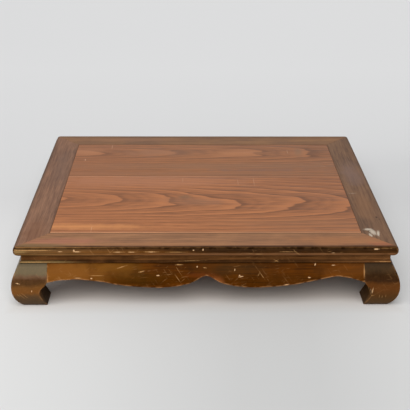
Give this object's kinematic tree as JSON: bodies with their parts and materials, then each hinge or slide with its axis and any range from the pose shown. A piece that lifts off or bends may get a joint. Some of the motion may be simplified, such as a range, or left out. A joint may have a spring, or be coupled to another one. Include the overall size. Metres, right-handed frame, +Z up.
{
  "type": "low table",
  "caption": "Low rectangular wooden table with a mitred top frame and loose panel, recessed waist, cusped aprons and inward-curling feet.",
  "frame": {"origin": "on the floor, under the middle of the top", "axes": "+X along the length, to the right seen from the front; +Y from the front towards the back; +Z up"},
  "size_m": [0.784, 0.648, 0.138],
  "materials": {
    "panel_wood": "open-grained hardwood boards, warm mid-brown stain under a thin matt lacquer, worn pale at the front right corner",
    "frame_wood": "stained hardwood, satin lacquer, dark moulded edge",
    "apron_wood": "stained hardwood, golden brown glossy lacquer rubbed thin on the lobes",
    "leg_wood": "stained hardwood, dark glossy lacquer, greyed and chipped at the feet"
  },
  "bodies": {
    "root": {"front_rail": "frame_wood", "back_rail": "frame_wood", "right_end_rail": "frame_wood", "left_end_rail": "frame_wood", "front_board": "panel_wood", "back_board": "panel_wood", "left_batten": "frame_wood", "right_batten": "frame_wood", "front_waist": "apron_wood", "back_waist": "apron_wood", "right_waist": "apron_wood", "left_waist": "apron_wood", "front_apron": "apron_wood", "back_apron": "apron_wood", "right_apron": "apron_wood", "left_apron": "apron_wood", "front_left_leg": "leg_wood", "front_right_leg": "leg_wood", "back_right_leg": "leg_wood", "back_left_leg": "leg_wood"}
  },
  "joints": []
}
